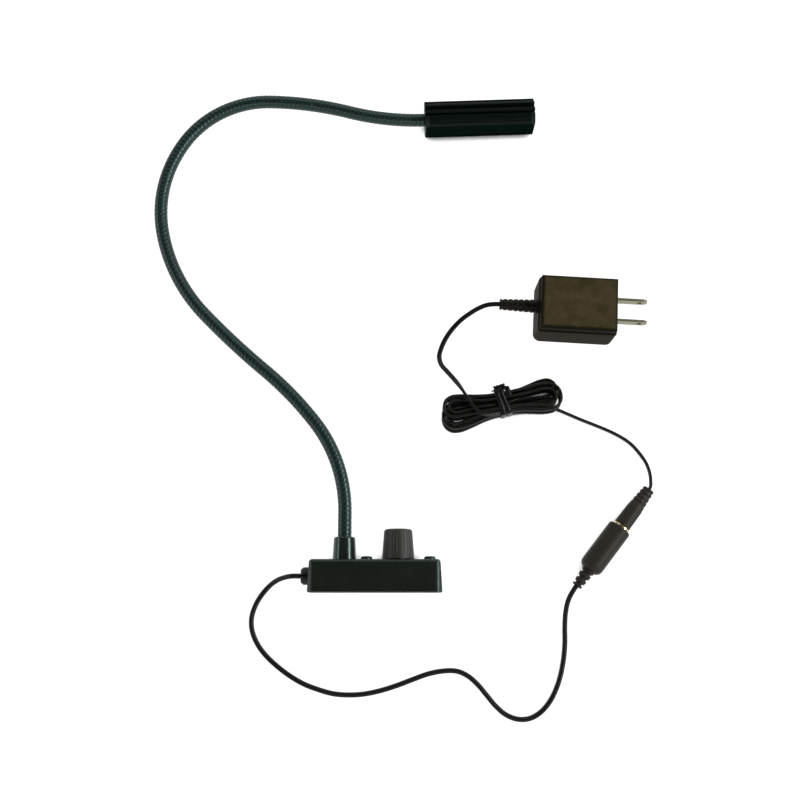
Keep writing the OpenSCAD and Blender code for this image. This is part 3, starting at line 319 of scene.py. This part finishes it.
def hose_length(name, first_turn, last_turn):
    """A length of ribbed hose: a strip wound as a screw, whose edges meet in the groove."""
    rows = (last_turn - first_turn) * rib_sides
    points, crest = [], []
    for j in range(rows + rib_sides + 1):
        angle = 2 * math.pi * j / rib_sides
        for m in range(rib_steps):
            s = rib_pitch * (first_turn + j / rib_sides + m / rib_steps) - neck_stub - neck_seat
            rise = abs(math.sin(math.pi * m / rib_steps)) ** rib_flatness
            centre, heading = neck_at(s)
            r = neck_d / 2 - rib_depth * (1 - rise)
            points.append((centre[0] - r * math.cos(angle) * math.sin(heading),
                           centre[1] + r * math.cos(angle) * math.cos(heading),
                           neck_height + r * math.sin(angle)))
            crest.append(rise)
    faces = []
    for j in range(rows):
        for m in range(rib_steps):
            near = j * rib_steps + m
            far = near + rib_steps
            if m + 1 < rib_steps:
                faces.append((near, near + 1, far + 1, far))
            else:
                faces.append((near, (j + rib_sides) * rib_steps, (j + rib_sides + 1) * rib_steps, far))
    used = sorted({v for f in faces for v in f})
    place = {v: i for i, v in enumerate(used)}
    piece = new_mesh(name, [points[v] for v in used], [[place[v] for v in f] for f in faces])
    mark = piece.data.attributes.new("crest", "FLOAT", "POINT")
    mark.data.foreach_set("value", [crest[v] for v in used])
    return piece


satin = Finish("neck_satin_black")
crest = satin.wire.node("Attribute", {"attribute_name": "crest"}, {}, "Fac")
neck_cloud = satin.noise(6 * mm, 4.0, 0.6)
neck_grain = satin.noise(0.3 * mm, 2.0)
# Painted shade: the grooves between the ribs are darker than the crests; the cloudy tone and grain are the
# coat's own.
neck_tone_and_painted_groove_shade = (crest ** 3 * 0.55 + neck_cloud * 0.35 + neck_grain * 0.15).clip()
neck_black = satin.shade(
    Base_Color=neck_tone_and_painted_groove_shade.tint((0.0025, 0.0080, 0.0070), (0.0105, 0.0300, 0.0265)),
    Roughness=(0.29 + (1 - crest) * 0.25 + (neck_cloud - 0.5) * 0.12 + neck_grain * 0.06).clip(),
    Specular_IOR_Level=0.7, Specular_Tint=cool,
    Normal=satin.wire.node("Bump", {}, {"Strength": 0.35, "Distance": 0.02 * mm, "Height": neck_grain}))

# Whole turns of the screw, so that each length ends in its groove half way between two hinges.
turns_at = [0]
for i in range(1, 8):
    middle_of_link = (neck_joints[i - 1] + neck_joints[i]) / 2
    turns_at.append(round((middle_of_link + neck_stub + neck_seat) / rib_pitch))
turns_at.append(round((neck_joints[8] + neck_seat + neck_stub + neck_seat) / rib_pitch) - 1)
bend_reach = 20 * mm
for i in range(8):
    hose = hose_length("neck_hose_%d" % (i + 1), turns_at[i], turns_at[i + 1])
    hose.data.materials.append(neck_black)
    before, after = neck_at(neck_joints[i] - bend_reach)[0], neck_at(neck_joints[i] + bend_reach)[0]
    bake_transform(hose)
    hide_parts("gooseneck_%d" % (i + 1))
    if i == 0:
        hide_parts("gooseneck_foot")


# Wire pair in the neck: two thin insulated wires twisted together, from the board to the head.
# It lies in the hose around it, one length across each hinge.
def tube(name, line, section, roll=None):
    """A closed tube along a line: section points are [across, up], turned by roll at each place."""
    line = np.asarray(line)
    ahead = np.gradient(line, axis=0)
    ahead /= np.linalg.norm(ahead, axis=1)[:, None]
    across = np.cross((0, 0, 1), ahead)
    across /= np.linalg.norm(across, axis=1)[:, None]
    up = np.cross(ahead, across)
    turn = np.zeros(len(line)) if roll is None else np.asarray(roll)
    c, s = np.cos(turn)[:, None], np.sin(turn)[:, None]
    wide, tall = across * c + up * s, up * c - across * s
    sides = len(section)
    points = [line[i] + a * wide[i] + b * tall[i] for i in range(len(line)) for a, b in section]
    faces = [(i * sides + k, i * sides + (k + 1) % sides,
              (i + 1) * sides + (k + 1) % sides, (i + 1) * sides + k)
             for i in range(len(line) - 1) for k in range(sides)]
    faces.append(tuple(reversed(range(sides))))
    faces.append(tuple(range((len(line) - 1) * sides, len(line) * sides)))
    return new_mesh(name, points, faces)


def round_section(radius, sides):
    """A round cord's section."""
    return [(radius * math.cos(2 * math.pi * k / sides), radius * math.sin(2 * math.pi * k / sides))
            for k in range(sides)]


wire_d, wire_places, wire_sides = 2.2 * mm, 24, 12
wire_ends = (-36 * mm, neck_joints[8] + 14 * mm)
red_wire = moulding("wire_red", (0.16, 0.012, 0.010), (0.30, 0.03, 0.025), 0.4)
for i in range(8):
    low = wire_ends[0] if i == 0 else (neck_joints[i - 1] + neck_joints[i]) / 2
    high = wire_ends[1] if i == 7 else (neck_joints[i] + neck_joints[i + 1]) / 2
    run = [(*neck_at(s)[0], neck_height) for s in np.linspace(low, high, wire_places)]
    strand = tube("neck_wire_%d" % (i + 1), run, round_section(wire_d / 2, wire_sides))
    strand.data.materials.append(red_wire)
    before, after = neck_at(neck_joints[i] - bend_reach)[0], neck_at(neck_joints[i] + bend_reach)[0]
    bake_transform(strand)
    if i == 0:
        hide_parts("neck_wire")


# Head: a black anodised aluminium extrusion with fins, closed by two caps with flush screws.
# Below it a snapped-in frame holds a smoked strip over the row of light sources.
anodised = Finish("anodised_black")
draw_lines = anodised.noise(0.22 * mm, 3.0, 0.6, (0.02, 1, 1))
draw_bands = anodised.noise(1.6 * mm, 2.0, 0.5, (0.04, 1, 1))
head_cloud = anodised.noise(8 * mm, 4.0, 0.6)
head_normal, head_edge = worn_edge(anodised, 0.25 * mm)
dress(anodised.shade(
    Base_Color=(draw_lines * 0.3 + head_cloud * 0.35 + draw_bands * 0.2 + head_edge * 0.5).clip().tint(
        (0.0014, 0.0038, 0.0027), (0.009, 0.0145, 0.0110)),
    Roughness=(0.34 + (draw_lines - 0.5) * 0.2 + (head_cloud - 0.5) * 0.1 - head_edge * 0.1).clip(),
    Metallic=0.05, Specular_IOR_Level=0.14, Specular_Tint=cool,
    Normal=anodised.wire.node("Bump", {}, {
        "Strength": 0.5, "Distance": 0.02 * mm, "Height": draw_lines + draw_bands, "Normal": head_normal})),
    "heat_sink")
dress(moulding("cap_black", (0.003, 0.0045, 0.004), (0.010, 0.013, 0.012), 0.42, sheen=cool),
      "rear_cap", "front_cap")
dress(moulding("frame_black", (0.0022, 0.0085, 0.0065), (0.0075, 0.0175, 0.0145), 0.34,
               shine=0.0, sheen=cool), "lens_frame")
dress(moulding("strip_white", (0.70, 0.70, 0.66), (0.85, 0.85, 0.82), 0.5), "led_board")
dress(moulding("phosphor_yellow", (0.70, 0.52, 0.12), (0.85, 0.70, 0.25), 0.35), "leds")
smoked = Finish("lens_smoked")
dress(smoked.shade(
    Base_Color=smoked.noise(4 * mm, 3.0).tint((0.0022, 0.0080, 0.0062), (0.0060, 0.0150, 0.0125)),
    Roughness=(0.24 + smoked.noise(0.4 * mm) * 0.12).clip(), Specular_IOR_Level=0.0), "lens")


# Lamp lead: a thin round cord from the bushing in the base to the in-line jack.
# It drops to the table and lies there in the loose bends that it has kept from its packing.
def smooth_line(points, step):
    """A centripetal curve through points, with places every step along it."""
    p = np.asarray(points, float)
    p = np.vstack((2 * p[0] - p[1], p, 2 * p[-1] - p[-2]))
    knots = np.concatenate(([0], np.cumsum(np.sqrt(np.linalg.norm(np.diff(p, axis=0), axis=1)))))
    dense = []
    for i in range(1, len(p) - 2):
        t0, t1, t2, t3 = knots[i - 1:i + 3]
        for t in np.linspace(t1, t2, 12, endpoint=False):
            a1 = (t1 - t) / (t1 - t0) * p[i - 1] + (t - t0) / (t1 - t0) * p[i]
            a2 = (t2 - t) / (t2 - t1) * p[i] + (t - t1) / (t2 - t1) * p[i + 1]
            a3 = (t3 - t) / (t3 - t2) * p[i + 1] + (t - t2) / (t3 - t2) * p[i + 2]
            b1 = (t2 - t) / (t2 - t0) * a1 + (t - t0) / (t2 - t0) * a2
            b2 = (t3 - t) / (t3 - t1) * a2 + (t - t1) / (t3 - t1) * a3
            dense.append((t2 - t) / (t2 - t1) * b1 + (t - t1) / (t2 - t1) * b2)
    dense = np.array(dense + [p[-2]])
    run = np.concatenate(([0], np.cumsum(np.linalg.norm(np.diff(dense, axis=0), axis=1))))
    places = np.linspace(0, run[-1], max(2, round(run[-1] / step)) + 1)
    return np.stack([np.interp(places, run, dense[:, k]) for k in range(3)], axis=1)


def line_length(line):
    """The length of a line of places."""
    return float(np.linalg.norm(np.diff(line, axis=0), axis=1).sum())


lead_d, lead_step, lead_sides = 2.8 * mm, 1.2 * mm, 16
mouth, jack_z, plug_turn = np.array((139.6, 27.2)) * mm, 6.7 * mm, math.radians(51.5)
jack_tail, relief_seat = -41.5 * mm, 8 * mm


def along_plug(s):
    """A place on the connector's axis, from the jack's mouth towards the plug."""
    return (mouth[0] + s * math.cos(plug_turn), mouth[1] + s * math.sin(plug_turn), jack_z)


lead_low = lead_d / 2 / mm
lead_route = [(-32.5, 0, 11), (-42.5, 0, 11), (-47, 0, 10.4), (-51, -0.6, 7.6), (-55.5, -2, 4.4),
              (-60, -5, 2.2)]
lead_route += [(x, y, lead_low) for x, y in (
    (-64.5, -10), (-68, -16), (-70, -23), (-69.5, -30), (-66.5, -37), (-62, -43), (-55.5, -49), (-48, -54.5),
    (-40, -59), (-32, -62), (-23.5, -64.3), (-15, -65), (-6, -64.5), (3, -62.7), (12, -60), (21, -56.7),
    (30, -53.6), (39, -52), (46, -52.2), (52, -54.8), (57.5, -59.5), (62.5, -65.4), (67.3, -71), (73, -75.7),
    (79.5, -78), (86, -77.6), (92, -74.4), (97.8, -68), (102.4, -58.8), (105.4, -48))]
lead_route += [(106.8, -37.5, 1.6), (106.9, -28.5, 2.6), (107.3, -20.5, 4.2), (108.8, -13.4, 5.8)]
lead_line = smooth_line(np.vstack((
    np.array(lead_route) * mm,
    along_plug(jack_tail - 3 * mm), along_plug(jack_tail + relief_seat))), lead_step)
cord_black = moulding("cord_black", (0.0035, 0.0034, 0.0024), (0.012, 0.0115, 0.009), 0.34,
                      grain=0.5 * mm, depth=0.02 * mm, shine=0.35)
lamp_lead = tube("lamp_lead_cord", lead_line, round_section(lead_d / 2, lead_sides))
lamp_lead.data.materials.append(cord_black)
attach(lamp_lead, "base")
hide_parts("lamp_lead")


# In-line jack and plug: soft black mouldings with ribbed reliefs, and plated contacts inside.
# The plug stands in the jack with a rim of the pale sleeve showing between them.
dress(moulding("connector_black", (0.022, 0.0208, 0.0154), (0.047, 0.0440, 0.036), 0.44, shine=0.25),
      "jack_body", "jack_relief", "plug_body", "plug_relief")
dress(plain_metal("gilt_sleeve", (0.55, 0.47, 0.28), (0.80, 0.72, 0.50), 0.24), "jack_sleeve", "jack_pin")
dress(plain_metal("nickel_barrel", (0.50, 0.49, 0.45), (0.70, 0.69, 0.65), 0.22), "plug_barrel")


# Supply lead: flat twin cord, two wires side by side in one skin with a groove between them.
# It stands on edge from the plug through its hank, then turns flat on its way up to the adapter.
twin_w, supply_step = 2.8 * mm, 1.1 * mm
hank_at, hank_turn, hank_start, hank_turns = (73, 99.8), math.radians(11), 312, 8.125
hank_layers, layer_turns, climb_turns, lead_in = 4, 2, 0.12, 42 / 360
hank_half, hank_waist, hank_swell, hank_step, waist_step, swell_step = 35.5, 6.1, 12.5, 2.8, 2.5, 1.6
hank_layer, hank_rings, over_gap, way_in_length, tie_t = 3.4, 24, 0.4, 6 * mm, 0.8
hank_lean = ((-3, 2.2), (2, -2.4), (-2.2, 2.4), (2.2, -1.8))
sleeve_rim, plug_gap, plug_len, plug_relief_len = 1.4 * mm, 0.2 * mm, 15 * mm, 11.5 * mm
plug_tail = sleeve_rim + plug_gap + plug_len + plug_relief_len
adapter_at, adapter_turn = np.array((118.3, 155.8)) * mm, math.radians(-3.4)
adapter_len, relief_len, blade_z = 47.5 * mm, 22 * mm, 13 * mm


def ease(x):
    """A smooth step from 0 to 1."""
    x = min(1.0, max(0.0, x))
    return x * x * (3 - 2 * x)


def on_hank(u, v, z):
    """A place on the table from one along and across the hank, in millimetres."""
    return np.array((hank_at[0] + u * math.cos(hank_turn) - v * math.sin(hank_turn),
                     hank_at[1] + u * math.sin(hank_turn) + v * math.cos(hank_turn), z)) * mm


def hank_point(t):
    """A place in the hank after t turns: layers wound in and out again, leaning over each other."""
    k = max(0, min(hank_layers - 1, math.floor((t - lead_in) / layer_turns)))
    inward = t - lead_in - k * layer_turns
    inward = inward if k % 2 == 0 else layer_turns - inward
    climbed = [ease((t - lead_in - n * layer_turns) / climb_turns + 0.5) for n in range(1, hank_layers)]
    a = math.radians(hank_start - 360 * t)
    side = 0 if math.cos(a) < 0 else 1
    lean = hank_lean[0][side] + sum(
        (hank_lean[n + 1][side] - hank_lean[n][side]) * climbed[n] for n in range(hank_layers - 1))
    u = (hank_half - hank_step * inward) * math.cos(a)
    v = math.sin(a) * (hank_waist - waist_step * inward
                       + (hank_swell - swell_step * inward) * abs(math.cos(a)) ** (2 + inward))
    v += lean * (1 - math.sin(a) ** 4)
    return on_hank(u, v, tie_t + twin_w / 2 / mm + hank_layer * sum(climbed))


def from_adapter(x):
    """A place on the adapter's axis, from its middle towards the blades."""
    return (adapter_at[0] + x * math.cos(adapter_turn), adapter_at[1] + x * math.sin(adapter_turn), blade_z)


hank_count = round(hank_turns * hank_rings)
hank = np.array([hank_point(i / hank_rings) for i in range(hank_count + 1)])
way_in = (hank[1] - hank[0]) / np.linalg.norm(hank[1] - hank[0])
hank_over = tie_t + twin_w / 2 / mm + hank_layers * hank_layer + over_gap
plug_side = np.vstack((
    along_plug(plug_tail - relief_seat), along_plug(plug_tail + 1.5 * mm),
    np.array(((158.8, 55, 5.6), (158.6, 60.4, 4), (157, 66, 2.5), (153.6, 71.8, 1.4), (149, 77, 1.4),
              (143, 81.2, 1.4), (136, 84.8, 1.4), (128, 88.2, 1.4), (120, 91.4, 1.6), (112.5, 94.6, 2))) * mm,
    hank[0] - way_in_length * way_in))
adapter_side = np.vstack((
    on_hank(-7.5, -6.6, hank_over - 2), on_hank(-12.4, -5.8, hank_over - 0.2),
    on_hank(-16.4, -1.2, hank_over), on_hank(-19.2, 5, hank_over),
    on_hank(-21.8, 11.8, hank_over - 0.6), on_hank(-24.2, 18.4, 11.2), on_hank(-26.9, 25, 6.4),
    np.array(((38.4, 124.4, 3.2), (37.4, 129.6, 1.8), (38.6, 134.6, 1.4), (41.2, 140.4, 1.6),
              (45.4, 146.4, 2.4), (50.2, 151.2, 4), (55.4, 154.6, 6.6), (60.4, 157, 9.4),
              (65.4, 158.4, 11.8))) * mm,
    from_adapter(-adapter_len / 2 - relief_len - 2 * mm),
    from_adapter(-adapter_len / 2 - relief_len + relief_seat)))
supply_line = smooth_line(np.vstack((plug_side, hank, adapter_side)), supply_step)
lobe, lobe_apart, lobe_arc, lobe_steps = 0.85 * mm, 0.55 * mm, 244, 8
twin_section = []
for side in (1, -1):
    for k in range(lobe_steps + 1):
        a = math.radians(lobe_arc * (k / lobe_steps - 0.5)) + (0 if side == 1 else math.pi)
        twin_section.append((side * lobe_apart + lobe * math.cos(a), lobe * math.sin(a)))
along_supply = np.concatenate(([0], np.cumsum(np.linalg.norm(np.diff(supply_line, axis=0), axis=1))))
flat_after, roll_over = 18 * mm, 18 * mm
turn_flat = along_supply[-1] - line_length(adapter_side) + flat_after
on_edge = [math.pi / 2 * (1 - ease((s - turn_flat) / roll_over)) for s in along_supply]
supply_lead = tube("supply_cord", supply_line, twin_section, on_edge)
supply_lead.data.materials.append(cord_black)
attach(supply_lead, "supply")
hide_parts("plug_lead", "cord_hank", "adapter_lead")


# Tie: a strip of black plastic over a wire, wound twice round the hank's waist.
# Its two ends are twisted together at the hank's upper side.
tie_half, tie_low, tie_high, tie_square, tie_along = 7.95, 0.4, 14.4, 8, 1.6
tie_turns, tie_pitch, tie_steps, tie_start = 2.2, 3.3, 72, 0.03
tie_sway, tie_waves, tie_probe = 0.35, 9, 0.002
strip_section = ((-1.5, -0.2), (-1.45, 0.1), (-0.55, 0.16), (-0.25, 0.4),
                 (0.25, 0.4), (0.55, 0.16), (1.45, 0.1), (1.5, -0.2))
tie_turn = hank_turn + math.radians(6)
tail_from, tail_across, tail_height, tail_swing = -3.2, 8.9, 11.6, 0.7
tail_rise, tail_twist, tail_run, tail_places = 1.35, 2.1, 4.6, 32
tail_r, tail_sides = 0.66 * mm, 10


def at_tie(u, v, z):
    """A place on the table from one along and across the hank at its tie, in millimetres."""
    u += tie_along
    return (hank_at[0] * mm + (u * math.cos(tie_turn) - v * math.sin(tie_turn)) * mm,
            hank_at[1] * mm + (u * math.sin(tie_turn) + v * math.cos(tie_turn)) * mm, z * mm)


def tie_spot(turn):
    """A place on the square-cornered ring that the tie makes: across the hank, and height."""
    c, s = math.cos(2 * math.pi * turn), math.sin(2 * math.pi * turn)
    reach = (abs(c) ** tie_square + abs(s) ** tie_square) ** (-1 / tie_square)
    return np.array((tie_half * c * reach, (tie_high + tie_low) / 2 + (tie_high - tie_low) / 2 * s * reach))


tie_points, tie_faces = [], []
tie_count = round(tie_turns * tie_steps)
for i in range(tie_count + 1):
    turn = tie_start + i / tie_steps
    here, ahead = tie_spot(turn), tie_spot(turn + tie_probe) - tie_spot(turn - tie_probe)
    out = np.array((ahead[1], -ahead[0])) / np.linalg.norm(ahead)
    shift = tie_pitch * (i / tie_steps - tie_turns / 2) + tie_sway * math.sin(tie_waves * turn)
    for wide, deep in strip_section:
        spot = here + out * deep
        tie_points.append(at_tie(shift + wide, spot[0], spot[1]))
ring = len(strip_section)
tie_faces += [(i * ring + k, i * ring + (k + 1) % ring,
               (i + 1) * ring + (k + 1) % ring, (i + 1) * ring + k)
              for i in range(tie_count) for k in range(ring)]
tie_faces += [tuple(range(ring)), tuple(tie_count * ring + k for k in reversed(range(ring)))]
tie = new_mesh("hank_twist_tie", tie_points, tie_faces)
tie_tails = []
for side in (0, math.pi):
    twist = [at_tie(tail_rise * r + tail_from,
                    tail_across + tail_swing * math.cos(tail_twist * r + side),
                    tail_height + tail_swing * math.sin(tail_twist * r + side))
             for r in np.linspace(0, tail_run, tail_places)]
    tie_tails.append(tube("hank_tie_end_%d" % (len(tie_tails) + 1), twist, round_section(tail_r, tail_sides)))
tie_black = moulding("tie_black", (0.003, 0.003, 0.0026), (0.010, 0.010, 0.009), 0.30,
                     depth=0.012 * mm, shine=0.25)
for piece in (tie, *tie_tails):
    piece.data.materials.append(tie_black)
    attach(piece, "supply")
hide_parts("hank_tie")
along_plug(plug_tail)


# Adapter: two black mouldings with a warm tint, pushed together at a seam with a shadow groove.
# A ribbed relief holds the lead, and two plated blades with holes stand out at the other end.
warm = (1.0, 0.93, 0.78)
# Painted shade: the cover's sides are painted darker than its top, standing for the shade under its edge.
dress(moulding("adapter_black_painted_side_shade", (0.005, 0.0043, 0.0026), (0.170, 0.137, 0.073), 0.44,
               shine=0.03, sheen=warm, sides=0.12), "adapter_cover")
dress(moulding("adapter_case_black", (0.018, 0.0150, 0.0095), (0.042, 0.0350, 0.0230), 0.44,
               shine=0.03, sheen=warm), "adapter_case")
dress(moulding("relief_black", (0.005, 0.0045, 0.003), (0.014, 0.0125, 0.009), 0.42,
               shine=0.25, sheen=warm), "adapter_relief")
dress(plain_metal("blade_nickel", (0.245, 0.235, 0.160), (0.38, 0.36, 0.27), 0.36), "adapter_blades")
dress(plain_metal("core_sheet", (0.22, 0.22, 0.23), (0.36, 0.36, 0.37), 0.5), "transformer_core")
dress(moulding("coil_varnish", (0.20, 0.07, 0.02), (0.36, 0.15, 0.05), 0.35), "transformer_coil")
